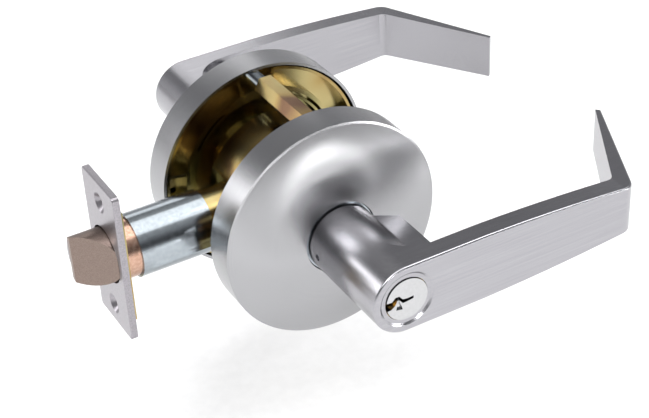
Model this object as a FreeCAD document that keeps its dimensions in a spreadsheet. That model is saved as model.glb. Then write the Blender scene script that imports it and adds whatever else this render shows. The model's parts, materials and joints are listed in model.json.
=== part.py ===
"""Cylindrical lever lockset: two levers on round roses, a drum chassis and a keyed spring latch.

Frame: origin on the spindle axis, midway through the door. +Y points to the inside lever,
-Y to the keyed outside lever, -X to the latch bolt, +Z up. Both levers point along +X.
Lengths are millimetres. A "depth" is a distance from the door's middle along the spindle.
"""
import FreeCAD, Part
import math
import os
import Sketcher

OUTSIDE = -1
INSIDE = 1
SIDE_NAMES = {OUTSIDE: "outside", INSIDE: "inside"}

# alias, value, what it is
DRIVING_SIZES = [
    ("backset", 69.85, "spindle axis to the front of the faceplate"),
    ("bolt_spacing", 69.85, "between the two through-bolts"),
    ("rose_radius", 40.0, "outer radius of each rose"),
    ("rose_wall", 1.0, "spun rose shell thickness"),
    ("rose_seat", 18.0, "depth of the rose's edge, where it meets the door"),
    ("rose_shoulder", 29.4, "depth of the crisp edge between rim and dome"),
    ("rose_crown", 35.0, "depth of the dome at the lever hub"),
    ("rose_bore", 13.3, "radius of the hole in the rose"),
    ("dome_bow", 0.7, "how far the dome bulges from a straight cone"),
    ("cage_radius", 38.2, "outer radius of the spring cage cup"),
    ("cage_wall", 1.0, "sheet thickness of the spring cage cup"),
    ("cage_lip", 18.9, "depth of the cup's open edge"),
    ("cage_floor", 25.2, "depth of the cup's floor, door side"),
    ("ledge_radius", 30.2, "outer radius of the raised ring in the cup"),
    ("ledge_inner", 26.6, "inner radius of the raised ring"),
    ("ledge_depth", 20.0, "depth of the raised ring's face"),
    ("drum_radius", 25.5, "outer radius of the chassis drum"),
    ("drum_half", 14.5, "half the width of the chassis drum"),
    ("drum_wall", 1.2, "sheet thickness of the drum"),
    ("drum_chamfer", 2.5, "bevel round the drum's edges"),
    ("thimble_radius", 12.0, "outer radius of the threaded thimbles"),
    ("thimble_end", 33.0, "depth of the thimble's free end"),
    ("spindle_radius", 9.6, "outer radius of the lever spindles"),
    ("spindle_bore", 8.0, "inner radius of the lever spindles"),
    ("spindle_end", 45.5, "depth of the spindle's lever end"),
    ("running_gap", 0.05, "radial clearance of turning and sliding fits"),
    ("wing_reach", 16.6, "radius of the spindle's roll-back wings"),
    ("wing_half", 1.25, "half the thickness of a roll-back wing"),
    ("wing_near", 8.0, "depth of the wing's inner face"),
    ("wing_far", 12.4, "depth of the wing's outer face"),
    ("hub_radius", 12.5, "outer radius of the lever hubs"),
    ("hub_start", 34.2, "depth of the hub's door end"),
    ("outside_face", 75.8, "depth of the outside lever's flat face"),
    ("inside_face", 84.0, "depth of the inside lever's flat face"),
    ("arm_thickness", 7.2, "lever arm thickness"),
    ("arm_elbow", 86.5, "inner corner of the lever's return"),
    ("arm_corner", 89.8, "outer corner of the lever's return"),
    ("arm_tip_inner", 110.6, "reach of the return's inner tip edge"),
    ("arm_tip_outer", 112.2, "reach of the return's outer tip edge"),
    ("return_inner", 47.0, "how far the inner tip edge turns back to the door"),
    ("return_outer", 45.5, "how far the outer tip edge turns back to the door"),
    ("arm_half_root", 12.5, "half width of the arm at the hub"),
    ("arm_half_elbow", 9.4, "half width of the arm at the elbow"),
    ("arm_half_tip", 8.5, "half width of the return's tip"),
    ("arm_bow", 1.2, "how far the arm's long edges bulge"),
    ("web_radius", 14.0, "hollow blend between arm and hub"),
    ("gusset_reach", 16.1, "how far the block beside the hub stands out"),
    ("gusset_half", 9.0, "half the height of the block beside the hub"),
    ("gusset_root", 36.0, "start of the block, back from the lever's face"),
    ("gusset_shoulder", 29.6, "end of the block's slope, back from the face"),
    ("cavity_radius", 9.7, "bore inside a lever hub"),
    ("plug_face_radius", 7.64, "radius of the key plug's face"),
    ("plug_radius", 6.35, "radius of the key plug's body"),
    ("plug_opening", 7.9, "radius of the hole in the lever's face"),
    ("shell_radius", 9.5, "outer radius of the cylinder shell"),
    ("shell_start", 46.0, "depth of the cylinder shell's rear end"),
    ("shell_end", 73.6, "depth of the cylinder shell's front end"),
    ("chamber_top", 11.0, "outermost reach of the pin chamber"),
    ("chamber_half", 2.9, "half the width of the pin chamber"),
    ("pin_radius", 1.05, "radius of the tumbler pins"),
    ("pin_pitch", 4.0, "distance between tumbler pins"),
    ("button_radius", 4.5, "radius of the locking button"),
    ("button_travel", 3.5, "how far the button presses in"),
    ("rod_radius", 2.0, "radius of the button's rod"),
    ("catch_depth", 40.8, "depth of the lever catch"),
    ("catch_radius", 1.15, "radius of the lever catch"),
    ("plate_height", 57.15, "faceplate height"),
    ("plate_width", 25.4, "faceplate width"),
    ("plate_thickness", 2.4, "faceplate thickness"),
    ("plate_screws", 41.275, "distance between the faceplate's screw holes"),
    ("plate_hole", 2.25, "radius of the faceplate's screw holes"),
    ("window_radius", 10.35, "radius of the bolt's window"),
    ("bolt_radius", 9.7, "radius of the round bolt"),
    ("bolt_throw", 11.0, "how far the bolt stands out of the faceplate"),
    ("bolt_flat", 5.2, "height of the flat behind the bolt's tip"),
    ("bolt_nose", 3.2, "where the bevel starts at the bolt's tip"),
    ("bolt_heel", -8.2, "where the bevel ends at the faceplate"),
    ("bolt_rear", 57.0, "distance of the bolt's rear end from the spindle"),
    ("sleeve_radius", 10.3, "outer radius of the copper-coloured front sleeve"),
    ("sleeve_bore", 9.8, "inner radius of the front sleeve"),
    ("tube_radius", 11.1, "outer radius of the latch tube, a 7/8 in drill"),
    ("tube_bore", 10.35, "inner radius of the latch tube"),
    ("tube_front", 61.3, "distance of the tube's front end from the spindle"),
    ("tube_rear", 24.0, "distance of the tube's rear end from the spindle"),
    ("tube_step", 34.5, "where the tube's upper side is cut back"),
    ("tab_reach", 0.2, "how far the lanced tab stands out, less than a 7/8 in bore allows"),
    ("post_flats", 7.4, "across the flats of the through-bolt posts"),
    ("post_end", 13.2, "where the posts end, inside the door"),
    ("screw_radius", 2.3, "radius of the through-bolt screws"),
    ("slide_front", -21.0, "front of the retractor slide"),
    ("slide_back", 6.0, "back of the retractor slide"),
    ("slide_half", 11.0, "half the height of the retractor slide"),
    ("slide_depth", 6.5, "half the width of the retractor slide"),
    ("shoe_far", 10.4, "depth of the shoes that the wings push"),
    ("dish_radius", 10.1, "radius of the shallow dish round the key plug"),
    ("dish_depth", 0.6, "depth of the dish round the key plug"),
    ("notch_depth", 0.9, "depth of the notch beside the keyway"),
]

document = FreeCAD.newDocument("LeverLockset")
sheet = document.addObject("Spreadsheet::Sheet", "Sizes")


class Size:
    """A length that holds its number and the spreadsheet expression that drives it."""

    def __init__(self, number, text):
        self.number = number
        self.text = text

    def joined(self, other, symbol, number, swapped=False):
        text = other.text if isinstance(other, Size) else repr(float(other))
        pair = (text, self.text) if swapped else (self.text, text)
        return Size(number, "(%s %s %s)" % (pair[0], symbol, pair[1]))

    def __add__(self, other):
        return self.joined(other, "+", self.number + value(other))

    def __radd__(self, other):
        return self.joined(other, "+", value(other) + self.number, True)

    def __sub__(self, other):
        return self.joined(other, "-", self.number - value(other))

    def __rsub__(self, other):
        return self.joined(other, "-", value(other) - self.number, True)

    def __mul__(self, other):
        return self.joined(other, "*", self.number * value(other))

    def __rmul__(self, other):
        return self.joined(other, "*", value(other) * self.number, True)

    def __truediv__(self, other):
        return self.joined(other, "/", self.number / value(other))

    def __neg__(self):
        return self * -1.0


def value(amount):
    return amount.number if isinstance(amount, Size) else float(amount)


def fill_sheet():
    sizes = {}
    for row, (alias, number, meaning) in enumerate(DRIVING_SIZES, start=1):
        sheet.set("A%d" % row, meaning)
        sheet.set("B%d" % row, repr(number))
        sheet.setAlias("B%d" % row, alias)
        sizes[alias] = Size(number, "Sizes." + alias)
    document.recompute()
    return sizes


S = fill_sheet()
PARTS = {}


def bind(item, prop, amount):
    """Set a property to a number, and to its expression if it comes from the sheet."""
    if isinstance(amount, Size):
        item.setExpression(prop, amount.text)


def place(item, at, turn=None):
    item.Placement = FreeCAD.Placement(FreeCAD.Vector(*[value(c) for c in at]),
                                       turn or FreeCAD.Rotation())
    for letter, amount in zip("xyz", at):
        bind(item, "Placement.Base." + letter, amount)
    return item


ALONG = {
    "X": FreeCAD.Rotation(FreeCAD.Vector(0, 1, 0), 90),
    "Y": FreeCAD.Rotation(FreeCAD.Vector(1, 0, 0), -90),
    "Z": FreeCAD.Rotation(),
}


def cylinder(radius, length, at, axis="Y", name="Cylinder"):
    """A cylinder that starts at a point and runs along +axis."""
    item = document.addObject("Part::Cylinder", name)
    item.Radius = value(radius)
    item.Height = value(length)
    bind(item, "Radius", radius)
    bind(item, "Height", length)
    return place(item, at, ALONG[axis])


def block(low, high, name="Block"):
    """A box between two corners."""
    item = document.addObject("Part::Box", name)
    for prop, a, b in zip(("Length", "Width", "Height"), low, high):
        size = b - a
        setattr(item, prop, value(size))
        bind(item, prop, size)
    return place(item, low)


def fuse(items, name="Joined"):
    item = document.addObject("Part::MultiFuse", name)
    item.Shapes = items
    return item


def cut(base, tools, name="Cut"):
    item = document.addObject("Part::Cut", name)
    item.Base = base
    item.Tool = tools[0] if len(tools) == 1 else fuse(tools, name + "Tools")
    return item


def common(first, second, name="Shared"):
    item = document.addObject("Part::Common", name)
    item.Base = first
    item.Tool = second
    return item


def ring(outer, inner, start, length, axis="Y", name="Ring"):
    """A plain tube on the spindle axis, or on the latch axis for axis X."""
    at = (start, 0, 0) if axis == "X" else (0, start, 0)
    return cut(cylinder(outer, length, at, axis), [cylinder(inner, length, at, axis)], name)


def sector(outer, inner, start, length, middle_angle, sweep, name="Sector"):
    """Part of a ring round the spindle axis; angles in degrees, from +X towards +Z."""
    spin = FreeCAD.Rotation(FreeCAD.Vector(0, 1, 0), -(middle_angle + sweep / 2.0))
    pieces = []
    for radius in (outer, inner):
        piece = cylinder(radius, length, (0, start, 0))
        piece.Angle = sweep
        piece.Placement.Rotation = spin.multiply(ALONG["Y"])
        pieces.append(piece)
    return cut(pieces[0], [pieces[1]], name)


def spoke(angle, near, far, start, length, half):
    """A radial wall at an angle round the spindle axis, from one radius to another."""
    piece = document.addObject("Part::Box", "Spoke")
    for prop, amount in (("Length", far - near), ("Width", length), ("Height", half * 2.0)):
        setattr(piece, prop, value(amount))
        bind(piece, prop, amount)
    turn = FreeCAD.Rotation(FreeCAD.Vector(0, 1, 0), -angle)
    corner = turn.multVec(FreeCAD.Vector(1, 0, 0))
    lift = turn.multVec(FreeCAD.Vector(0, 0, -1))
    at = (near * corner.x + half * lift.x, start, near * corner.z + half * lift.z)
    return place(piece, at, turn)


def origin_plane(body, role):
    for feature in body.Origin.OriginFeatures:
        if feature.Role == role:
            return feature
    raise ValueError(role)


def new_body(name):
    return document.addObject("PartDesign::Body", name)


def outline(body, role, points, name="Outline"):
    """A closed sketch; a point is (x, y) or (x, y, bow), bow being the bulge of the next edge."""
    sketch = body.newObject("Sketcher::SketchObject", name)
    sketch.AttachmentSupport = [(origin_plane(body, role), "")]
    sketch.MapMode = "FlatFace"
    corners = [FreeCAD.Vector(value(p[0]), value(p[1]), 0) for p in points]
    count = len(points)
    for index, point in enumerate(points):
        start = corners[index]
        end = corners[(index + 1) % count]
        if len(point) == 3:
            chord = end - start
            across = FreeCAD.Vector(chord.y, -chord.x, 0).normalize() * value(point[2])
            sketch.addGeometry(Part.Arc(start, (start + end) * 0.5 + across, end), False)
        else:
            sketch.addGeometry(Part.LineSegment(start, end), False)
    ends = []
    for index, point in enumerate(points):
        clockwise = len(point) == 3 and value(point[2]) < 0
        ends.append((2, 1) if clockwise else (1, 2))
    for index in range(count):
        following = (index + 1) % count
        sketch.addConstraint(Sketcher.Constraint("Coincident", index, ends[index][1],
                                                 following, ends[following][0]))
    for index, point in enumerate(points):
        pin_point(sketch, index, ends[index][0], point)
        if len(point) == 3:
            bow_radius(sketch, index, point, points[(index + 1) % count])
    return sketch


def pin_point(sketch, index, end, point):
    """Hold a corner at its two coordinates."""
    for kind, own_axis, amount in (("DistanceX", -2, point[0]), ("DistanceY", -1, point[1])):
        if value(amount) == 0.0:
            sketch.addConstraint(Sketcher.Constraint("PointOnObject", index, end, own_axis))
            continue
        number = sketch.addConstraint(
            Sketcher.Constraint(kind, -1, 1, index, end, value(amount)))
        bind(sketch, "Constraints[%d]" % number, amount)


def bow_radius(sketch, index, point, following):
    """Hold an arc's radius, from its chord and how far it bulges."""
    run = following[0] - point[0]
    rise = following[1] - point[1]
    bow = point[2]
    if value(bow) < 0:
        bow = -bow
    radius = (run * run + rise * rise) / (8.0 * bow) + bow / 2.0
    number = sketch.addConstraint(Sketcher.Constraint("Radius", index, value(radius)))
    bind(sketch, "Constraints[%d]" % number, radius)


def revolve(body, points, name="Turned", kind="PartDesign::Revolution"):
    """Turn a (radius, y) outline about the spindle axis."""
    sketch = outline(body, "XY_Plane", points, name + "Outline")
    feature = body.newObject(kind, name)
    feature.Profile = sketch
    feature.ReferenceAxis = (sketch, ["V_Axis"])
    feature.Angle = 360.0
    return feature


def turned(points, side=INSIDE, name="Turned"):
    """A body of revolution whose (radius, depth) outline lies on one side of the door."""
    body = new_body(name)
    revolve(body, [(p[0], p[1] * side) + tuple(p[2:]) for p in points])
    return body


def extrude(body, role, points, depth, name="Pad", kind="PartDesign::Pad"):
    """Pad or pocket an outline by the same amount to both sides of its plane."""
    feature_sketch = outline(body, role, points, name + "Outline")
    feature = body.newObject(kind, name)
    feature.Profile = feature_sketch
    feature.SideType = "Symmetric"
    feature.Length = value(depth)
    bind(feature, "Length", depth)
    return feature


def edges_where(shape, test):
    return ["Edge%d" % (i + 1) for i, edge in enumerate(shape.Edges) if test(edge)]


def soften(body, kind, prop, amount, test, name):
    """Fillet or chamfer the edges of the body's tip that pass a test."""
    document.recompute()
    base = body.Tip
    feature = body.newObject(kind, name)
    feature.Base = (base, edges_where(base.Shape, test))
    setattr(feature, prop, value(amount))
    bind(feature, prop, amount)
    document.recompute()
    return feature


def coil(radius, wire, height, turns, at, axis, name="Coil"):
    """A round-wire coil spring that starts at a point and runs along +axis."""
    helix = document.addObject("Part::Helix", name + "Line")
    helix.Radius = value(radius)
    helix.Height = value(height)
    helix.Pitch = value(height) / turns
    helix.SegmentLength = 0.5
    bind(helix, "Radius", radius)
    bind(helix, "Height", height)
    bind(helix, "Pitch", height / turns)
    section = document.addObject("Part::Circle", name + "Wire")
    section.Radius = value(wire)
    bind(section, "Radius", wire)
    section.Placement = FreeCAD.Placement(
        FreeCAD.Vector(value(radius), 0, 0), FreeCAD.Rotation(FreeCAD.Vector(1, 0, 0), 90))
    bind(section, "Placement.Base.x", radius)
    sweep = document.addObject("Part::Sweep", name)
    sweep.Sections = [section]
    document.recompute([helix])
    sweep.Spine = (helix, ["Edge%d" % (i + 1) for i in range(len(helix.Shape.Edges))])
    sweep.Solid = True
    sweep.Frenet = True
    return place(sweep, at, ALONG[axis])


def keep(node, item):
    """Name a finished sub-part."""
    item.Label = node
    PARTS[node] = item
    return item


def signed(side, near, far):
    """Start and length of a stretch of depth on one side, for a piece that runs along +Y."""
    start = near if side == INSIDE else -far
    return start, far - near


def make_rose(side):
    wall = S["rose_wall"]
    bow = S["dome_bow"] * side
    shoulder_step = 0.7
    shell = turned([
        (S["rose_radius"] - wall, S["rose_seat"]),
        (S["rose_radius"], S["rose_seat"]),
        (S["rose_radius"], S["rose_shoulder"]),
        (S["rose_radius"] - shoulder_step, S["rose_shoulder"] + 0.3, bow),
        (S["rose_bore"], S["rose_crown"]),
        (S["rose_bore"], S["rose_crown"] - wall, -bow),
        (S["rose_radius"] - wall, S["rose_shoulder"] - 0.7),
    ], side, "Rose")
    keep(SIDE_NAMES[side] + "_rose", shell)


def make_cage(side):
    """The spring cage: a pressed cup with a raised ring, ribs, slots and bolt holes."""
    wall = S["cage_wall"]
    floor = S["cage_floor"]
    dish = turned([
        (S["thimble_radius"] + 0.1, floor),
        (S["ledge_radius"] - wall, floor),
        (S["ledge_radius"] - wall, S["ledge_depth"] + wall),
        (S["ledge_inner"], S["ledge_depth"] + wall),
        (S["ledge_inner"], S["ledge_depth"]),
        (S["ledge_radius"], S["ledge_depth"]),
        (S["ledge_radius"], floor),
        (S["cage_radius"] - wall, floor),
        (S["cage_radius"] - wall, S["cage_lip"]),
        (S["cage_radius"], S["cage_lip"]),
        (S["cage_radius"], floor + wall),
        (S["thimble_radius"] + 0.1, floor + wall),
    ], side, "CageDish")
    rib_start, rib_length = signed(side, S["ledge_depth"] + 0.6, floor + 0.2)
    ribs = [spoke(angle, S["ledge_radius"] - 0.4, S["cage_radius"] - 0.4, rib_start, rib_length,
                  S["cage_wall"] * 0.6) for angle in (10, 79, 101, 170, 190, 259, 281, 350)]
    cup = fuse([dish] + ribs, "CageCup")
    lip_start, lip_length = signed(side, S["cage_lip"] - 1.0, floor)
    hole_start, hole_length = signed(side, floor - 1.0, floor + wall + 1.0)
    slot_start, slot_length = signed(side, S["ledge_depth"] - 1.0, S["ledge_depth"] + wall + 0.5)
    openings = []
    for up in (1, -1):
        notch_low = S["cage_radius"] - 2.6 if up == 1 else -S["cage_radius"] - 1.0
        openings.append(block((-6.2, lip_start, notch_low),
                              (6.2, lip_start + lip_length, notch_low + 3.6), "BoltNotch"))
        if side == INSIDE:
            openings.append(cylinder(S["screw_radius"] + 0.1, hole_length,
                                     (0, hole_start, S["bolt_spacing"] * (up * 0.5))))
    for middle in (45, 135, 225, 315):
        openings.append(sector(S["ledge_inner"] + 2.0, S["ledge_inner"] + 0.9,
                               slot_start, slot_length, middle, 32, "SpringSlot"))
    openings.append(cylinder(1.3, hole_length, (-33.6, hole_start, -2.2)))
    keep(SIDE_NAMES[side] + "_spring_cage", cut(cup, openings, "Cage"))


def make_thimble(side):
    sleeve = turned([
        (S["spindle_radius"] + S["running_gap"], S["drum_half"]),
        (S["thimble_radius"] + 2.5, S["drum_half"]),
        (S["thimble_radius"] + 2.5, S["drum_half"] + 1.5),
        (S["thimble_radius"], S["drum_half"] + 1.5),
        (S["thimble_radius"], S["thimble_end"]),
        (S["spindle_radius"] + S["running_gap"], S["thimble_end"]),
    ], side, "Thimble")
    keep(SIDE_NAMES[side] + "_thimble", sleeve)
    thickness = 1.8
    start, length = signed(side, S["cage_floor"] - thickness, S["cage_floor"])
    nut = ring(S["thimble_radius"] + 4.2, S["thimble_radius"] + 0.02, start, length)
    slots = []
    for angle in (45, 135, 225, 315):
        slots.append(spoke(angle, S["thimble_radius"] + 2.8, S["thimble_radius"] + 6.0,
                           start - 0.5, length + 1.0, S["cage_wall"] * 1.2))
    keep(SIDE_NAMES[side] + "_lock_ring", cut(nut, slots, "LockRing"))


def make_spindle(side):
    """A tube that turns in its thimble and carries two roll-back wings inside the drum."""
    far_start, far_length = signed(side, S["wing_far"] - 0.4, S["spindle_end"])
    wing_start, wing_length = signed(side, S["wing_near"], S["wing_far"])
    tube = ring(S["spindle_radius"], S["spindle_bore"], far_start, far_length)
    reach = S["wing_reach"]
    wing = block((-S["wing_half"], wing_start, -reach),
                 (S["wing_half"], wing_start + wing_length, reach), "Wings")
    boss = cylinder(6.0, wing_length, (0, wing_start, 0))
    web_start, web_length = signed(side, S["wing_far"] - 1.6, S["wing_far"] + 0.4)
    web = cylinder(S["spindle_radius"] - 0.1, web_length, (0, web_start, 0))
    solid = fuse([tube, wing, boss, web], "SpindleBlank")
    rod_start, rod_length = signed(side, S["wing_near"] - 1.0, S["wing_far"] + 2.0)
    rod_hole = cylinder(3.2, rod_length, (0, rod_start, 0))
    catch_hole = cylinder(S["catch_radius"] + S["running_gap"], 6.0,
                          (-S["spindle_radius"] - 2.0, S["catch_depth"] * side, 0), "X")
    keep(SIDE_NAMES[side] + "_spindle", cut(solid, [rod_hole, catch_hole], "Spindle"))


def make_driver(side):
    """The ring that a lever turns and that winds the return spring."""
    radius = S["thimble_radius"]
    plate = turned([
        (radius + 0.15, 28.2),
        (radius + 5.2, 28.2),
        (radius + 5.2, 29.6),
        (radius + 1.0, 29.6),
        (radius + 1.0, S["hub_start"]),
        (radius + 0.15, S["hub_start"]),
    ], side, "Driver")
    keep(SIDE_NAMES[side] + "_spring_driver", plate)


def make_return_spring(side):
    start, length = signed(side, S["cage_floor"] + 2.4, 31.2)
    spring = coil(19.2, 0.8, length, 2, (0, start, 0), "Y", "ReturnSpring")
    keep(SIDE_NAMES[side] + "_return_spring", spring)


def make_lever(side):
    """One casting: a bored hub, a tapering bowed arm and a return that turns to the door."""
    face = S["outside_face"] if side == OUTSIDE else S["inside_face"]
    lip = 2.2
    opening = S["plug_opening"] if side == OUTSIDE else S["button_radius"] + 0.1
    body = new_body("Lever")
    back = face - S["arm_thickness"]
    revolve(body, [
        (S["cavity_radius"], S["hub_start"] * side),
        (S["hub_radius"], S["hub_start"] * side),
        (S["hub_radius"], face * side),
        (opening, face * side),
        (opening, (face - lip) * side),
        (S["cavity_radius"], (face - lip) * side),
    ], "Hub")
    arm_half = S["arm_half_root"]
    web_bow = S["web_radius"] * (0.29289 * side)
    extrude(body, "XY_Plane", [
        (0, face * side),
        (S["arm_corner"], face * side),
        (S["arm_tip_outer"], (face - S["return_outer"]) * side),
        (S["arm_tip_inner"], (face - S["return_inner"]) * side),
        (S["arm_elbow"], back * side),
        (S["web_radius"], back * side, web_bow),
        (0, (back - S["web_radius"]) * side),
    ], arm_half * 2.0, "Arm")
    taper = [
        ("Upper", 1.0),
        ("Lower", -1.0),
    ]
    for name, up in taper:
        far = S["arm_tip_outer"] + 3.0
        margin = S["arm_half_root"] + 4.0
        extrude(body, "XZ_Plane", [
            (0, arm_half * up, S["arm_bow"] * -up),
            (S["arm_elbow"], S["arm_half_elbow"] * up),
            (far, S["arm_half_tip"] * up),
            (far, margin * up),
            (0, margin * up),
        ], face * 2.4, name + "Taper", "PartDesign::Pocket")
    extrude(body, "XY_Plane", [
        (0, (face - S["gusset_root"]) * side),
        (6.4, (face - S["gusset_root"] + 0.2) * side),
        (S["gusset_reach"], (face - S["gusset_shoulder"]) * side),
        (S["gusset_reach"], (back + 0.5) * side),
        (0, (back + 0.5) * side),
    ], S["gusset_half"] * 2.0, "Gusset")
    groove = revolve(body, [
        (0, (S["hub_start"] - 1.0) * side),
        (S["cavity_radius"], (S["hub_start"] - 1.0) * side),
        (S["cavity_radius"], (face - lip) * side),
        (opening, (face - lip) * side),
        (opening, (face + 1.0) * side),
        (0, (face + 1.0) * side),
    ], "Bore", "PartDesign::Groove")
    body.Tip = groove
    least_height = 5.0

    def upright(edge, x, y):
        ends = [v.Point for v in edge.Vertexes]
        if len(ends) != 2:
            return False
        tall = abs(ends[0].z - ends[1].z) > least_height
        return tall and all(abs(p.x - x) < 0.2 and abs(p.y - y) < 0.2 for p in ends)

    corner = (value(S["arm_corner"]), value(face * side))
    elbow = (value(S["arm_elbow"]), value(back * side))
    soften(body, "PartDesign::Fillet", "Radius", 5.5, lambda e: upright(e, *corner), "Corner")
    soften(body, "PartDesign::Fillet", "Radius", 3.5, lambda e: upright(e, *elbow), "Elbow")
    level = value(face * side)
    rim_radius = value(S["hub_radius"])
    soften(body, "PartDesign::Fillet", "Radius", 0.8,
           lambda e: on_face(e, level, rim_radius), "FaceEdge")
    return body, face


def on_face(edge, level, rim_radius):
    """True for the outer edges of a lever's flat face, but not for its opening."""
    if any(abs(v.Point.y - level) > 0.01 for v in edge.Vertexes):
        return False
    if abs(edge.CenterOfMass.y - level) > 0.01:
        return False
    return any(v.Point.x > rim_radius * 0.9 or math.hypot(v.Point.x, v.Point.z) > rim_radius - 0.6
               for v in edge.Vertexes)


def finish_lever(side, body, face):
    """Cut the catch hole and, in the keyed lever, the groove for the pin chamber."""
    tools = [cylinder(S["catch_radius"] + S["running_gap"], 6.0,
                      (-S["hub_radius"] - 1.0, S["catch_depth"] * side, 0), "X")]
    if side == OUTSIDE:
        top = S["chamber_top"] + 0.2
        half = S["chamber_half"] + 0.2
        tools.append(block((5.0, -S["shell_end"] - 0.1, -half), (top, -S["hub_start"] + 1.0, half)))
        tools.append(turned([
            (0, face - S["dish_depth"]),
            (S["dish_radius"] - 0.8, face - S["dish_depth"]),
            (S["dish_radius"], face),
            (S["dish_radius"], face + 1.0),
            (0, face + 1.0),
        ], side, "Dish"))
    keep(SIDE_NAMES[side] + "_lever", cut(body, tools, "LeverFinished"))


def make_catch(side):
    """The spring catch that holds a lever on its spindle; a pin pushed in frees it."""
    outer = -S["hub_radius"] + 0.9
    depth = S["catch_depth"] * side
    shaft = cylinder(S["catch_radius"], 4.4, (outer, depth, 0), "X")
    head = cylinder(1.9, 0.8, (outer + 3.9, depth, 0), "X")
    keep(SIDE_NAMES[side] + "_lever_catch", fuse([shaft, head], "Catch"))


def make_key_cylinder():
    """Shell, plug, pins, springs, cap and tailpiece of the key cylinder."""
    start = -S["shell_end"]
    length = S["shell_end"] - S["shell_start"]
    barrel = cylinder(S["shell_radius"], length, (0, start, 0))
    half = S["chamber_half"]
    chamber = block((4.0, start, -half), (S["chamber_top"], -S["shell_start"], half), "PinChamber")
    bores = [
        cylinder(S["plug_radius"] + 0.07, length + 2.0, (0, start - 1.0, 0)),
        cylinder(S["plug_face_radius"] + 0.12, 2.0, (0, start - 1.0, 0)),
    ]
    pin_count = 5
    first_pin = 51.0
    depths = [-(first_pin + S["pin_pitch"] * float(i)) for i in range(pin_count)]
    bore_radius = S["pin_radius"] + S["running_gap"]
    bores += [cylinder(bore_radius, 4.7, (5.9, depth, 0), "X") for depth in depths]
    keep("cylinder_shell", cut(fuse([barrel, chamber], "ShellBlank"), bores, "Shell"))

    head = cylinder(S["plug_face_radius"], 2.9, (0, -S["outside_face"] + 0.2, 0))
    plug_tail = 0.1
    barrel = cylinder(S["plug_radius"], S["outside_face"] - 2.0 - S["shell_start"] + plug_tail,
                      (0, -S["outside_face"] + 2.0, 0))
    keyway = new_body("Keyway")
    extrude(keyway, "XZ_Plane", [
        (-8.2, 1.25), (-8.2, -1.9), (-6.0, -1.9), (-4.6, -0.9), (-3.5, 0.9), (-2.7, 0.5),
        (-1.6, -0.9), (0.2, -0.75), (2.4, -0.5), (2.4, 0.5), (0.2, 0.35), (-1.6, 0.6),
        (-2.9, 2.2), (-4.3, 2.3), (-5.6, 1.0),
    ], S["outside_face"] * 2.2, "Slot")
    notch = new_body("PlugNotch")
    extrude(notch, "XZ_Plane", [(-3.0, 0.9), (-4.2, -2.8), (-1.7, -3.3)],
            S["notch_depth"] * 2.0, "Vee")
    place(notch, (0, -S["outside_face"] + 0.2, 0))
    pin_holes = [cylinder(bore_radius, 5.0, (1.9, depth, 0), "X") for depth in depths]
    keep("key_plug", cut(fuse([head, barrel], "PlugBlank"), [keyway, notch] + pin_holes, "Plug"))

    key_pins = []
    driver_pins = []
    pin_springs = []
    for index, depth in enumerate(depths):
        short = 0.35 * (index % 3)
        key_pins.append(cylinder(S["pin_radius"], 3.3 - short, (2.8 + short, depth, 0), "X"))
        driver_pins.append(cylinder(S["pin_radius"], 1.7, (6.55, depth, 0), "X"))
        pin_springs.append(coil(0.78, 0.16, 1.9, 4, (8.45, depth, 0), "X", "PinSpring"))
    keep("key_pins", compound(key_pins, "KeyPins"))
    keep("driver_pins", compound(driver_pins, "DriverPins"))
    keep("pin_springs", compound(pin_springs, "PinSprings"))

    cap = cylinder(S["shell_radius"] - 2.2, 1.6, (0, -S["shell_start"] + 0.1, 0))
    cap_hole = block((-2.6, -S["shell_start"] - 1.0, -1.0), (2.6, -S["shell_start"] + 3.0, 1.0))
    keep("plug_cap", cut(cap, [cap_hole], "PlugCap"))
    keep("tailpiece", block((-2.5, -S["shell_start"] + 0.1, -0.9), (2.5, -7.2, 0.9), "Tailpiece"))


def compound(items, name):
    item = document.addObject("Part::Compound", name)
    item.Links = items
    return item


def make_button():
    """Locking button in the inside lever: button, rod, guide disc and spring."""
    face = S["inside_face"]
    flange = cylinder(6.6, 1.5, (0, face - 9.4, 0))
    rounded = new_body("ButtonCap")
    top = face + 1.6
    revolve(rounded, [
        (0, face - 4.0), (S["button_radius"], face - 4.0), (S["button_radius"], top - 0.8),
        (S["button_radius"] - 0.8, top), (0, top),
    ], "Dome")
    short_cap = cylinder(S["button_radius"], 5.0, (0, face - 8.0, 0))
    keep("push_button", fuse([rounded, short_cap, flange], "Button"))
    rod_start = 10.3
    keep("button_rod", cylinder(S["rod_radius"], face - 9.4 - rod_start, (0, rod_start, 0), "Y",
                                "ButtonRod"))
    guide_start = face - 20.0
    keep("button_guide", ring(S["cavity_radius"] - 0.05, S["rod_radius"] + S["running_gap"],
                              guide_start, 1.5, name="ButtonGuide"))
    keep("button_spring", coil(3.6, 0.4, 8.0, 5, (0, guide_start + 1.95, 0), "Y", "ButtonSpring"))


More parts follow.
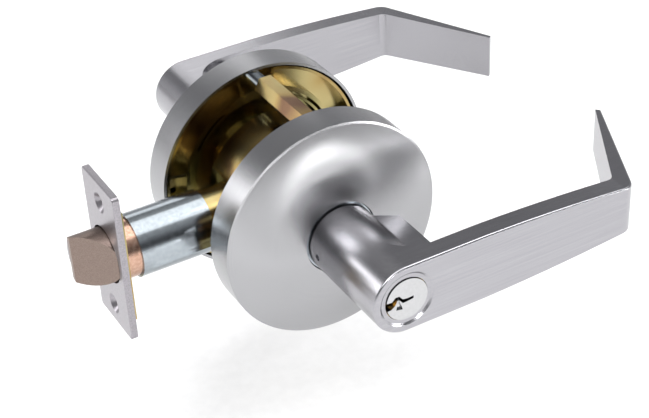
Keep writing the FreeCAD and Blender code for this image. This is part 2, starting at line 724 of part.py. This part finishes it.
def make_chassis():
    """The drum that the latch and both spindles enter, its end plate and its latch bracket."""
    half = S["drum_half"]
    radius = S["drum_radius"]
    wall = S["drum_wall"]
    bevel = S["drum_chamfer"]
    bore = S["spindle_radius"] + 0.3
    shell = turned([
        (radius - bevel, -half),
        (radius, -half + bevel),
        (radius, half - bevel),
        (radius - bevel, half),
        (bore, half),
        (bore, half - wall),
        (radius - bevel - 0.6, half - wall),
        (radius - wall, half - bevel - 0.6),
        (radius - wall, -half + bevel + 0.6),
        (radius - bevel - 0.6, -half + wall),
        (radius - bevel - 0.6, -half),
    ], INSIDE, "Drum")
    mouth = S["tube_radius"] + 0.5
    window = block((-radius - 1.0, -mouth, -mouth), (-16.0, mouth, mouth), "LatchMouth")
    side_slots = [block((-4.5, -1.6, radius - 3.0), (4.5, 1.6, radius + 1.0)),
                  block((-4.5, -1.6, -radius - 1.0), (4.5, 1.6, 3.0 - radius))]
    keep("chassis_drum", cut(shell, [window] + side_slots, "ChassisDrum"))
    keep("chassis_end_plate",
         ring(radius - bevel - 0.65, bore, -half, wall, name="EndPlate"))

    sleeve = S["tube_bore"] - 0.1
    inner = sleeve - 1.2
    prong_start = -36.0
    neck_end = -22.6
    prong = ring(sleeve, inner, prong_start, neck_end - prong_start, "X", "Prong")
    near_gap = block((prong_start - 1.0, -12.0, -12.0), (neck_end - 2.0, 12.0, 2.5))
    flange_rear = -22.0
    flange_front = -23.6
    flange = block((flange_front, -mouth, -mouth), (flange_rear, mouth, mouth), "BracketFlange")
    hole = cylinder(inner, 4.0, (flange_front - 1.0, 0, 0), "X")
    neck = fuse([cut(prong, [near_gap], "ProngCut"), cut(flange, [hole], "FlangeCut")],
                "LatchBracket")
    keep("latch_bracket", neck)


def make_retractor():
    """The slide that pulls the bolt back, with a hook slot in front and shoes for the wings."""
    front = S["slide_front"]
    back = S["slide_back"]
    half = S["slide_half"]
    depth = S["slide_depth"]
    base = block((front, -depth, -half), (back, depth, half), "SlideBlock")
    shoes = []
    for low in (6.6, -10.65):
        shoes.append(block((2.6, -S["shoe_far"], low), (back, -depth + 1.0, low + 4.05), "Shoe"))
    jaws = [
        block((front - 1.0, -depth - 1.0, -3.4), (-16.7, depth + 1.0, 3.4), "HookSlot"),
        block((-16.9, -depth - 1.0, -6.4), (-12.5, depth + 1.0, 6.4), "HookPocket"),
    ]
    pockets = [cylinder(2.7, 20.0, (-10.0, 0, height), "X") for height in (8.0, -8.0)]
    slide = cut(fuse([base] + shoes, "SlideBlank"), jaws + pockets, "Slide")
    keep("retractor_slide", slide)
    springs = [coil(2.0, 0.35, 30.8, 11, (-9.5, 0, height), "X", "RetractorSpring")
               for height in (8.0, -8.0)]
    keep("retractor_springs", compound(springs, "RetractorSprings"))


def make_faceplate():
    """Faceplate with two countersunk screw holes and a round window for the bolt."""
    body = new_body("Faceplate")
    half_width = S["plate_width"] / 2.0
    half_height = S["plate_height"] / 2.0
    extrude(body, "YZ_Plane", [
        (-half_width, -half_height), (half_width, -half_height),
        (half_width, half_height), (-half_width, half_height),
    ], S["plate_thickness"], "Plate")
    width = value(half_width)
    soften(body, "PartDesign::Fillet", "Radius", 1.6,
           lambda e: is_corner(e, width), "PlateCorners")
    front = -value(S["plate_thickness"]) / 2.0
    soften(body, "PartDesign::Fillet", "Radius", 0.45,
           lambda e: all(abs(v.Point.x - front) < 0.01 for v in e.Vertexes), "PlateEdge")
    middle = S["plate_thickness"] / 2.0 - S["backset"]
    place(body, (middle, 0, 0))
    start = -S["backset"] - 1.0
    tools = [cylinder(S["window_radius"], 5.0, (start, 0, 0), "X")]
    for up in (0.5, -0.5):
        height = S["plate_screws"] * up
        tools.append(cylinder(S["plate_hole"], 5.0, (start, 0, height), "X"))
        sink = document.addObject("Part::Cone", "Countersink")
        depth = 1.6
        sink.Radius1 = value(S["plate_hole"]) + depth
        sink.Radius2 = value(S["plate_hole"])
        sink.Height = depth
        bind(sink, "Radius1", S["plate_hole"] + depth)
        bind(sink, "Radius2", S["plate_hole"])
        tools.append(place(sink, (-S["backset"] - 0.1, 0, height), ALONG["X"]))
    keep("faceplate", cut(body, tools, "FaceplateDrilled"))


def is_corner(edge, half_width):
    ends = [v.Point for v in edge.Vertexes]
    if len(ends) != 2:
        return False
    return abs(ends[0].x - ends[1].x) > 1.0 and abs(abs(ends[0].y) - half_width) < 0.1


def make_latch():
    """Backplate, sleeve, tube, stop, bolt, tail, plunger and spring of the latch."""
    back_start = S["plate_thickness"] - S["backset"]
    sheet_thickness = 1.0
    backplate = block((back_start, -11.2, -21.5), (back_start + sheet_thickness, 11.2, 21.5))
    tools = [cylinder(S["window_radius"], 5.0, (back_start - 1.0, 0, 0), "X")]
    for up in (1, -1):
        height = S["plate_screws"] * (0.5 * up)
        tools.append(cylinder(3.2, 5.0, (back_start - 1.0, 0, height), "X"))
    keep("latch_backplate", cut(backplate, tools, "Backplate"))

    sleeve_start = back_start + sheet_thickness
    sleeve_length = 12.5
    keep("latch_sleeve", ring(S["sleeve_radius"], S["sleeve_bore"], sleeve_start,
                              sleeve_length, "X", "LatchSleeve"))

    tube_length = S["tube_front"] - S["tube_rear"]
    tube = ring(S["tube_radius"], S["tube_bore"], -S["tube_front"], tube_length, "X", "Tube")
    tube_tools = [
        block((-S["tube_step"], -12.0, -6.0), (-S["tube_rear"] + 1.0, 12.0, 12.0), "TubeStep"),
        block((-57.5, -12.0, -5.4), (-S["tube_step"] - 2.0, -10.3, -1.6), "TubeRecess"),
    ]
    tab_sheet = block((-35.6, -S["tube_radius"] - 0.7, -5.0), (-34.7, -9.6, -0.8), "TabSheet")
    tab_limit = cylinder(S["tube_radius"] + S["tab_reach"], 3.0, (-36.5, 0, 0), "X")
    tab = common(tab_sheet, tab_limit, "TubeTab")
    keep("latch_tube", fuse([cut(tube, tube_tools, "TubeCut"), tab], "LatchTube"))

    stop_start = -38.0
    stop = cylinder(S["tube_bore"] - 0.05, 1.4, (stop_start, 0, 0), "X")
    stop_slots = [
        block((stop_start - 1.0, -1.6, -3.4), (stop_start + 3.0, 1.6, 3.4)),
        block((stop_start - 1.0, 5.4, -2.0), (stop_start + 3.0, 9.0, 2.0)),
    ]
    keep("latch_stop_plate", cut(stop, stop_slots, "StopPlate"))

    throw = S["bolt_throw"]
    tip = -S["backset"] - throw
    rear = -S["bolt_rear"]
    bar = cylinder(S["bolt_radius"], rear - tip, (tip, 0, 0), "X")
    flat_side = block((tip - 1.0, S["bolt_flat"], -12.0), (rear + 1.0, 12.0, 12.0), "BoltFlat")
    wedge = new_body("Bevel")
    slope_run = throw + 0.5
    extrude(wedge, "XY_Plane", [
        (tip, S["bolt_nose"]),
        (tip + slope_run, S["bolt_heel"]),
        (tip + slope_run, S["bolt_heel"] - 4.0),
        (tip - 2.0, S["bolt_heel"] - 4.0),
        (tip - 2.0, S["bolt_nose"]),
    ], S["bolt_radius"] * 2.5, "BevelCut")
    keep("latch_bolt", cut(bar, [flat_side, wedge], "Bolt"))

    neck = block((rear, -1.2, -3.0), (-16.0, 1.2, 3.0), "TailNeck")
    hook = block((-16.4, -1.2, -6.0), (-13.0, 1.2, 6.0), "TailHook")
    keep("latch_tail", fuse([neck, hook], "Tail"))

    plunger_tip = tip + 0.9
    bar = cylinder(S["bolt_radius"], 20.0, (plunger_tip, 0, 0), "X")
    keeper = block((plunger_tip, S["bolt_flat"] + 0.15, -4.6), (plunger_tip + 20.0, 12.0, 4.6))
    keep("deadlatch_plunger", common(bar, keeper, "Plunger"))

    keep("latch_spring", coil(4.7, 0.5, -rear + stop_start - 1.2, 9, (rear + 0.6, 0, 0), "X",
                              "LatchSpring"))


def make_through_bolts():
    """Two posts riveted to the outside spring cage, and the two screws that enter them."""
    posts = []
    screws = []
    cage_face = S["cage_floor"]
    flats = S["post_flats"]
    for up in (0.5, -0.5):
        height = S["bolt_spacing"] * up
        prism = document.addObject("Part::Prism", "Post")
        prism.Polygon = 6
        prism.Circumradius = value(flats) / math.sqrt(3.0)
        prism.Height = value(cage_face + S["post_end"])
        bind(prism, "Circumradius", flats / math.sqrt(3.0))
        bind(prism, "Height", cage_face + S["post_end"])
        place(prism, (0, -cage_face, height), ALONG["Y"])
        bore = cylinder(S["screw_radius"] + 0.05, 22.0, (0, S["post_end"] - 21.0, height))
        posts.append(cut(prism, [bore], "DrilledPost"))
        inner_face = cage_face + S["cage_wall"]
        shank = cylinder(S["screw_radius"], inner_face, (0, 0.5, height))
        head = cylinder(3.8, 1.9, (0, inner_face, height))
        cross = [
            block((-2.2, inner_face + 0.9, height - 0.4), (2.2, inner_face + 3.0, height + 0.4)),
            block((-0.4, inner_face + 0.9, height - 2.2), (0.4, inner_face + 3.0, height + 2.2)),
        ]
        screws.append(cut(fuse([shank, head], "ScrewBlank"), cross, "Screw"))
    keep("through_bolt_posts", compound(posts, "Posts"))
    keep("through_bolt_screws", compound(screws, "Screws"))


def check_and_export():
    document.recompute()
    for item in document.Objects:
        broken = [state for state in item.State if state in ("Invalid", "Error")]
        if broken:
            raise RuntimeError("%s (%s) failed to build" % (item.Name, item.Label))
    os.makedirs("parts", exist_ok=True)
    for node, item in PARTS.items():
        shape = item.Shape
        if shape.isNull() or not shape.isValid() or not shape.Solids:
            raise RuntimeError("%s has no valid solid" % node)
        shape.exportStep("parts/%s.step" % node)
        print("%-24s solids %d volume %9.1f" % (node, len(shape.Solids), shape.Volume))


for door_side in (OUTSIDE, INSIDE):
    make_rose(door_side)
    make_cage(door_side)
    make_thimble(door_side)
    make_spindle(door_side)
    make_driver(door_side)
    make_return_spring(door_side)
    lever_body, lever_face = make_lever(door_side)
    finish_lever(door_side, lever_body, lever_face)
    make_catch(door_side)
make_key_cylinder()
make_button()
make_chassis()
make_retractor()
make_faceplate()
make_latch()
make_through_bolts()
check_and_export()
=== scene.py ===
"""Keyed lever lockset: finishes, fine detail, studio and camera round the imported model."""

import json
import math

import bmesh
import bpy
from mathutils import Matrix, Vector


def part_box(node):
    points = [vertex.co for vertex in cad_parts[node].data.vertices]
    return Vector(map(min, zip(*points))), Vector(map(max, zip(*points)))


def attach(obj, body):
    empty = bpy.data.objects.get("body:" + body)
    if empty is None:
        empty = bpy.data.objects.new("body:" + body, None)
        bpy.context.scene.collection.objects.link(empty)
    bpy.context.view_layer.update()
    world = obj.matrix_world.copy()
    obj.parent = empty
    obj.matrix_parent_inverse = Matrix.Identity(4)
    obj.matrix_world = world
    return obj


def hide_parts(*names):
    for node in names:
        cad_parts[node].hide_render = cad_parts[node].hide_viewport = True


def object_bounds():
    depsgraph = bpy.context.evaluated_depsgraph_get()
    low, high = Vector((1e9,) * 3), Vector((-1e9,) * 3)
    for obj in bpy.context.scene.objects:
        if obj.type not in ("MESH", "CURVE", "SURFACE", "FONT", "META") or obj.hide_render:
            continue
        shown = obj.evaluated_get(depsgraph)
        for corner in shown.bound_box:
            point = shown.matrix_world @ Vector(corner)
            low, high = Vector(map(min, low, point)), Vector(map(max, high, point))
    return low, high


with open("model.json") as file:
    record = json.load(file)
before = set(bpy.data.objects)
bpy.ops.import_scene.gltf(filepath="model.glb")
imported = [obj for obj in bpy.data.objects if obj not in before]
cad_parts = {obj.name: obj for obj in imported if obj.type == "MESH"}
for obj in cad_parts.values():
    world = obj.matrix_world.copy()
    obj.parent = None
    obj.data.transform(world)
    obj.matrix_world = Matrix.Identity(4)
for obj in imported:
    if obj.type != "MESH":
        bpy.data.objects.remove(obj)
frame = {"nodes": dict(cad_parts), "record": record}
cad_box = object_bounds()
MM = 0.001
SPINDLE_AXIS = (0.0, 1.0, 0.0)


def hex_colour(code):
    """Linear RGBA of an sRGB hex value."""
    channels = [int(code[i:i + 2], 16) / 255.0 for i in (0, 2, 4)]
    linear = [c / 12.92 if c <= 0.04045 else ((c + 0.055) / 1.055) ** 2.4 for c in channels]
    return (*linear, 1.0)


def new_material(name):
    """An empty node material, its node tree and its shader."""
    material = bpy.data.materials.new(name)
    material.use_nodes = True
    tree = material.node_tree
    return material, tree, tree.nodes["Principled BSDF"]


def add(tree, kind, inputs=None, stops=(), **settings):
    """One node. inputs holds its socket values or the sockets linked to them, stops a colour
    ramp's (position, hex) pairs, and settings the node's own properties."""
    node = tree.nodes.new(kind)
    for key, setting in settings.items():
        setattr(node, key, setting)
    for key, given in (inputs or {}).items():
        if isinstance(given, bpy.types.NodeSocket):
            tree.links.new(given, node.inputs[key])
        else:
            node.inputs[key].default_value = given
    for index, (position, code) in enumerate(stops):
        elements = node.color_ramp.elements
        element = elements[index] if index < len(elements) else elements.new(position)
        element.position = position
        element.color = hex_colour(code)
    return node


def distance_from_spindle(tree, spot):
    """How far a point is from the spindle axis, in metres."""
    flat = add(tree, "ShaderNodeVectorMath", {0: spot, 1: (1.0, 0.0, 1.0)}, operation="MULTIPLY")
    reach = add(tree, "ShaderNodeVectorMath", {0: flat.outputs["Vector"]}, operation="LENGTH")
    return reach.outputs["Value"]


def round_spindle(tree, spot):
    """The direction that brush lines take on metal turned round the spindle axis."""
    across = add(tree, "ShaderNodeVectorMath", {0: SPINDLE_AXIS, 1: spot},
                 operation="CROSS_PRODUCT")
    return across.outputs["Vector"]


def finish_metal(tree, shader, colour, roughness, height, bump):
    """Metal shader: colour and roughness sockets, and a relief up to 0.1 mm deep."""
    shader.inputs["Metallic"].default_value = 1.0
    tree.links.new(colour, shader.inputs["Base Color"])
    tree.links.new(roughness, shader.inputs["Roughness"])
    relief = add(tree, "ShaderNodeBump",
                 {"Height": height, "Strength": bump, "Distance": 0.1 * MM})
    tree.links.new(relief.outputs["Normal"], shader.inputs["Normal"])


def brush_metal(tree, shader, strength, direction):
    """Brushed metal: highlights stretch across the lines, which run along direction."""
    shader.inputs["Anisotropic"].default_value = strength
    lines = add(tree, "ShaderNodeVectorTransform", {"Vector": direction},
                vector_type="VECTOR", convert_from="OBJECT", convert_to="WORLD")
    tree.links.new(lines.outputs["Vector"], shader.inputs["Tangent"])


def satin_chrome_spun():
    """Satin chrome on a spun brass shell. A wheel held against the turning rose leaves fine
    circular lines, which pull the highlights out into fans from the middle to the rim."""
    material, tree, shader = new_material("satin_chrome_circular_brush")
    spot = add(tree, "ShaderNodeTexCoord").outputs["Object"]
    # Lines are about 0.1 mm apart on the real shell; 0.6 mm is about the finest that still shows.
    line_step = 0.6 * MM
    handled_patch = 22.0 * MM
    depth = add(tree, "ShaderNodeSeparateXYZ", {"Vector": spot}).outputs["Y"]
    way_out = add(tree, "ShaderNodeMath", {0: distance_from_spindle(tree, spot), 1: depth},
                  operation="ADD")
    rings = add(tree, "ShaderNodeTexNoise",
                {"W": way_out.outputs["Value"], "Scale": 1.0 / line_step, "Detail": 2.0},
                noise_dimensions="1D")
    cloud = add(tree, "ShaderNodeTexNoise",
                {"Vector": spot, "Scale": 1.0 / handled_patch, "Detail": 2.0})
    colour = add(tree, "ShaderNodeValToRGB", {"Fac": rings.outputs["Fac"]},
                 stops=[(0.25, "9f9fa1"), (0.75, "a4a4a6")])
    # Handling polishes the chrome in soft patches. All of them stay under 0.27: a patch that
    # crosses it comes out of the render with an outline.
    roughness = add(tree, "ShaderNodeMapRange",
                    {"Value": cloud.outputs["Fac"], "To Min": 0.225, "To Max": 0.265})
    finish_metal(tree, shader, colour.outputs["Color"], roughness.outputs["Result"],
                 rings.outputs["Fac"], 0.008)
    brush_metal(tree, shader, 0.88, round_spindle(tree, spot))
    return material


def satin_chrome_lever():
    """Satin chrome on a zinc casting, brushed along the arm on a belt and round the hub on a
    wheel. The arm's flat face stays pale and even, and the hub carries brighter highlights."""
    material, tree, shader = new_material("satin_chrome_belt_brush")
    spot = add(tree, "ShaderNodeTexCoord").outputs["Object"]
    line_step = 0.3 * MM
    line_length = 30.0 * MM
    handled_patch = 25.0 * MM
    hub_radius = 15.0 * MM
    blend_width = 5.0 * MM
    stretched = add(tree, "ShaderNodeMapping",
                    {"Vector": spot,
                     "Scale": (1.0 / line_length, 1.0 / line_step, 1.0 / line_step)})
    lines = add(tree, "ShaderNodeTexNoise",
                {"Vector": stretched.outputs["Vector"], "Scale": 1.0, "Detail": 3.0})
    cloud = add(tree, "ShaderNodeTexNoise",
                {"Vector": spot, "Scale": 1.0 / handled_patch, "Detail": 2.0})
    colour = add(tree, "ShaderNodeValToRGB", {"Fac": lines.outputs["Fac"]},
                 stops=[(0.25, "9b9a9e"), (0.75, "a9a8ac")])
    roughness = add(tree, "ShaderNodeMapRange",
                    {"Value": cloud.outputs["Fac"], "To Min": 0.22, "To Max": 0.265})
    on_arm = add(tree, "ShaderNodeMapRange",
                 {"Value": distance_from_spindle(tree, spot), "From Min": hub_radius,
                  "From Max": hub_radius + blend_width})
    along_arm = (1.0, 0.0, 0.0)
    brushed = add(tree, "ShaderNodeMix",
                  {0: on_arm.outputs["Result"], 4: round_spindle(tree, spot), 5: along_arm},
                  data_type="VECTOR")
    finish_metal(tree, shader, colour.outputs["Color"], roughness.outputs["Result"],
                 lines.outputs["Fac"], 0.05)
    brush_metal(tree, shader, 0.6, brushed.outputs[1])
    return material


def yellow_zinc():
    """Pressed steel, zinc plated and dipped in yellow chromate. The film is a few hundred
    nanometres thick, so it drifts from gold to olive with faint copper and violet."""
    material, tree, shader = new_material("yellow_chromate_zinc_plate")
    spot = add(tree, "ShaderNodeTexCoord").outputs["Object"]
    film_drift = 30.0 * MM
    plate_grain = 0.6 * MM
    drift = add(tree, "ShaderNodeTexNoise",
                {"Vector": spot, "Scale": 1.0 / film_drift, "Detail": 1.5, "Distortion": 0.6})
    grain = add(tree, "ShaderNodeTexNoise",
                {"Vector": spot, "Scale": 1.0 / plate_grain, "Detail": 4.0})
    colour = add(tree, "ShaderNodeValToRGB", {"Fac": drift.outputs["Fac"]},
                 stops=[(0.28, "6e5440"), (0.42, "9c8656"), (0.55, "a89a6c"), (0.68, "7c7850"),
                        (0.80, "8e6854")])
    roughness = add(tree, "ShaderNodeMapRange",
                    {"Value": grain.outputs["Fac"], "To Min": 0.16, "To Max": 0.24})
    finish_metal(tree, shader, colour.outputs["Color"], roughness.outputs["Result"],
                 grain.outputs["Fac"], 0.02)
    return material


def plain_metal(name, dark, light, smoothest, roughest, grain_size, bump):
    """Metal with one fine grain, which carries its two colours, its roughness and its relief."""
    material, tree, shader = new_material(name)
    spot = add(tree, "ShaderNodeTexCoord").outputs["Object"]
    grain = add(tree, "ShaderNodeTexNoise",
                {"Vector": spot, "Scale": 1.0 / grain_size, "Detail": 4.0})
    colour = add(tree, "ShaderNodeValToRGB", {"Fac": grain.outputs["Fac"]},
                 stops=[(0.3, dark), (0.7, light)])
    roughness = add(tree, "ShaderNodeMapRange",
                    {"Value": grain.outputs["Fac"], "To Min": smoothest, "To Max": roughest})
    finish_metal(tree, shader, colour.outputs["Color"], roughness.outputs["Result"],
                 grain.outputs["Fac"], bump)
    return material


BY_SLOT = {
    "yellow_zinc": yellow_zinc(),
    # Tube steel, electroplated with clear zinc: bright, faintly blue.
    "bright_zinc": plain_metal("clear_zinc_plate", dark="989fa4", light="a4abb0",
                               smoothest=0.15, roughest=0.20, grain_size=1.4 * MM, bump=0.006),
    # Oiled mild steel from the press: dull grey with a soft sheen.
    "plain_steel": plain_metal("oiled_mild_steel", dark="7f7f80", light="98989a",
                               smoothest=0.28, roughest=0.40, grain_size=0.9 * MM, bump=0.05),
    # Thin copper flash over steel: pinkish and smooth.
    "copper_plate": plain_metal("copper_flash_plate", dark="b08a76", light="c6a592",
                                smoothest=0.16, roughest=0.24, grain_size=1.1 * MM, bump=0.02),
    # Pressed and sintered stainless powder, tumbled: matt, brownish grey, with fine pores.
    "sintered_stainless": plain_metal("sintered_stainless_steel", dark="74655d", light="8f8078",
                                      smoothest=0.32, roughest=0.44, grain_size=0.25 * MM,
                                      bump=0.06),
    # Nickel plate, brushed matt: a warm, soft grey.
    "satin_nickel": plain_metal("satin_nickel_plate", dark="8e8b8f", light="a29ea3",
                                smoothest=0.28, roughest=0.36, grain_size=0.5 * MM, bump=0.03),
    # Nickel plated brass, polished: pale and nearly even.
    "nickel_brass": plain_metal("polished_nickel_plate", dark="b4b4b5", light="bcbcbd",
                                smoothest=0.16, roughest=0.20, grain_size=0.8 * MM, bump=0.003),
    # Free-cutting brass straight from the lathe: yellow, with a faint grain.
    "brass": plain_metal("machined_brass", dark="b8954f", light="cfae66",
                         smoothest=0.22, roughest=0.32, grain_size=0.6 * MM, bump=0.04),
    # Hard drawn spring wire, oiled: dark grey.
    "spring_steel": plain_metal("hard_drawn_spring_wire", dark="6d6e72", light="8a8b90",
                                smoothest=0.24, roughest=0.34, grain_size=0.5 * MM, bump=0.04),
}
ROSE_FINISH = satin_chrome_spun()
LEVER_FINISH = satin_chrome_lever()


def finish_cad_pieces():
    """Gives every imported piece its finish: the roses and levers their own, the rest by slot."""
    node_slots = {part["node"]: part["material_slot"] for part in frame["record"]["subparts"]}
    for name, piece in frame["nodes"].items():
        if name.endswith("_rose"):
            finish = ROSE_FINISH
        elif name.endswith("_lever"):
            finish = LEVER_FINISH
        else:
            finish = BY_SLOT[node_slots[name]]
        piece.data.materials.clear()
        piece.data.materials.append(finish)


def turned_solid(profile, height):
    """A closed solid turned about a line along Y, at x 0 and the given height. profile is
    (radius, depth) pairs that start and end on that line. All in metres."""
    shape = bmesh.new()
    points = [shape.verts.new((radius, depth, height)) for radius, depth in profile]
    edges = [shape.edges.new(pair) for pair in zip(points, points[1:])]
    bmesh.ops.spin(shape, geom=points + edges, cent=(0.0, 0.0, height),
                   axis=SPINDLE_AXIS, angle=math.tau, steps=40, use_merge=True)
    bmesh.ops.remove_doubles(shape, verts=shape.verts, dist=0.001 * MM)
    bmesh.ops.recalc_face_normals(shape, faces=shape.faces)
    return shape


def through_screw_profile(low_end, high_end, head_radius):
    """Outline of one through-bolt screw along Y: thread, plain neck, and head at the high end.
    The thread is drawn as a row of grooves."""
    crest_radius = 2.3 * MM
    root_radius = crest_radius - 0.35 * MM
    pitch = 0.8 * MM
    root_width = 0.3 * pitch
    head_height = 1.9 * MM
    neck_length = 2.0 * MM
    under_bevel = 0.3 * MM
    top_bevel = 0.5 * MM
    neck_end = high_end - head_height
    thread_end = neck_end - neck_length
    profile = [(0.0, low_end), (root_radius, low_end)]
    for turn in range(int((thread_end - low_end) / pitch)):
        start = low_end + turn * pitch
        profile.append((root_radius, start + root_width / 2))
        profile.append((crest_radius, start + pitch / 2))
        profile.append((root_radius, start + pitch - root_width / 2))
    profile += [(crest_radius, thread_end), (crest_radius, neck_end),
                (head_radius - under_bevel, neck_end), (head_radius, neck_end + under_bevel),
                (head_radius, high_end - top_bevel), (head_radius - top_bevel, high_end),
                (0.0, high_end)]
    return profile


def make_through_screws():
    """The two machine screws that draw the roses together. Each head's cross recess faces into
    the rose and is left plain."""
    low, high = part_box("through_bolt_screws")
    head_radius = high[0]
    screw_height = high[2] - head_radius
    profile = through_screw_profile(low[1], high[1], head_radius)
    mesh = bpy.data.meshes.new("threaded_screws")
    joined = bmesh.new()
    for height in (screw_height, -screw_height):
        screw = turned_solid(profile, height)
        screw.to_mesh(mesh)
        screw.free()
        joined.from_mesh(mesh)
    joined.to_mesh(mesh)
    joined.free()
    mesh.materials.append(BY_SLOT["bright_zinc"])
    piece = bpy.data.objects.new("threaded_screws", mesh)
    bpy.context.scene.collection.objects.link(piece)
    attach(piece, "lock_body")
    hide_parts("through_bolt_screws")


def make_floor():
    """A plain pale floor, low enough for both levers to swing down over it."""
    reach = cad_box[1][0]
    steepest = math.radians(45.0)
    clear_below = 15.0 * MM
    half_width = 12.0
    level = -reach * math.sin(steepest) - clear_below
    mesh = bpy.data.meshes.new("floor")
    shape = bmesh.new()
    bmesh.ops.create_grid(shape, x_segments=1, y_segments=1, size=half_width)
    bmesh.ops.translate(shape, verts=shape.verts, vec=(0.0, 0.0, level))
    shape.to_mesh(mesh)
    shape.free()
    material, tree, shader = new_material("matt_white_studio_paper")
    fibre_clump = 4.0 * MM
    spot = add(tree, "ShaderNodeTexCoord").outputs["Object"]
    fibre = add(tree, "ShaderNodeTexNoise",
                {"Vector": spot, "Scale": 1.0 / fibre_clump, "Detail": 2.0})
    colour = add(tree, "ShaderNodeValToRGB", {"Fac": fibre.outputs["Fac"]},
                 stops=[(0.3, "f4f4f4"), (0.7, "f8f8f8")])
    tree.links.new(colour.outputs["Color"], shader.inputs["Base Color"])
    shader.inputs["Roughness"].default_value = 0.9
    mesh.materials.append(material)
    floor = bpy.data.objects.new("floor", mesh)
    bpy.context.scene.collection.objects.link(floor)


def make_walls():
    """Pale walls behind the lockset, and on the camera's side one dark band between the horizon
    and the ceiling, so that polished and satin metal shows bands of light and shade."""
    world = bpy.data.worlds.new("pale_studio")
    world.use_nodes = True
    tree = world.node_tree
    direction = add(tree, "ShaderNodeTexCoord").outputs["Generated"]
    parts = add(tree, "ShaderNodeSeparateXYZ", {"Vector": direction})
    front = add(tree, "ShaderNodeValToRGB", {"Fac": parts.outputs["Z"]},
                stops=[(0.0, "e4e4e6"), (0.10, "c8c8cb"), (0.18, "3a3b3e"), (0.40, "55565a"),
                       (0.62, "c4c5c8"), (1.0, "ffffff")])
    back = add(tree, "ShaderNodeValToRGB", {"Fac": parts.outputs["Z"]},
               stops=[(0.0, "e4e4e6"), (0.30, "d8d8db"), (0.55, "8e8f92"), (1.0, "ffffff")])
    behind = add(tree, "ShaderNodeMapRange",
                 {"Value": parts.outputs["Y"], "From Min": -0.3, "From Max": 0.1})
    shade = add(tree, "ShaderNodeMix",
                {0: behind.outputs["Result"], 6: front.outputs["Color"], 7: back.outputs["Color"]},
                data_type="RGBA")
    background = tree.nodes["Background"]
    tree.links.new(shade.outputs[2], background.inputs["Color"])
    background.inputs["Strength"].default_value = 0.75
    bpy.context.scene.world = world


def make_lamp(name, at, aim, size, watts):
    """A soft oblong lamp at one point, aimed at another. Places and sizes in millimetres."""
    lamp = bpy.data.lights.new(name, "AREA")
    lamp.shape = "RECTANGLE"
    lamp.size = size[0] * MM
    lamp.size_y = size[1] * MM
    lamp.energy = watts
    item = bpy.data.objects.new(name, lamp)
    bpy.context.scene.collection.objects.link(item)
    away = Vector(at) - Vector(aim)
    turn = away.to_track_quat("Z", "Y").to_matrix().to_4x4()
    item.matrix_world = Matrix.Translation(Vector(at) * MM) @ turn


def make_lamps():
    """Two key lamps above, three that draw the fans on the front rose, and three that light the
    far sides, the rims and the floor."""
    middle = (0, 0, 0)
    front_rose = (0, -30, 0)
    make_lamp("key_upper_left", at=(-420, -180, 620), aim=middle, size=(260, 420), watts=3.4)
    make_lamp("key_upper_right", at=(420, -150, 640), aim=front_rose, size=(200, 320), watts=1.6)
    make_lamp("fan_upper_left", at=(-72, -766, 222), aim=front_rose, size=(80, 240), watts=1.3)
    make_lamp("fan_right", at=(620, -560, 120), aim=front_rose, size=(90, 240), watts=1.8)
    make_lamp("fan_low_front", at=(218, -645, -40), aim=front_rose, size=(60, 60), watts=0.19)
    make_lamp("left_wall", at=(-700, 520, 250), aim=middle, size=(420, 320), watts=1.6)
    make_lamp("rim_back", at=(120, 760, 420), aim=middle, size=(520, 260), watts=0.6)
    make_lamp("floor_wash", at=(0, -60, 1500), aim=middle, size=(1500, 1500), watts=12.5)


def make_camera():
    """A long lens in front of the keyed lever, above it and towards the latch side. It looks
    down, past the lockset to the right, and is turned a little off level."""
    place = Vector((-209.64, -411.41, 307.47)) * MM
    to_the_right = math.radians(28.602)
    downwards = math.radians(34.308)
    off_level = math.radians(3.059)
    lens = bpy.data.cameras.new("camera")
    lens.sensor_width = 36.0
    lens.lens = 88.09
    lens.shift_x = -0.0054
    lens.shift_y = -0.0077
    item = bpy.data.objects.new("camera", lens)
    bpy.context.scene.collection.objects.link(item)
    turn = (Matrix.Rotation(-to_the_right, 4, "Z") @ Matrix.Rotation(math.pi / 2 - downwards, 4, "X")
            @ Matrix.Rotation(-off_level, 4, "Z"))
    item.matrix_world = Matrix.Translation(place) @ turn
    bpy.context.scene.camera = item


finish_cad_pieces()
make_through_screws()
make_floor()
make_walls()
make_lamps()
make_camera()
bpy.context.scene.view_settings.view_transform = "Standard"
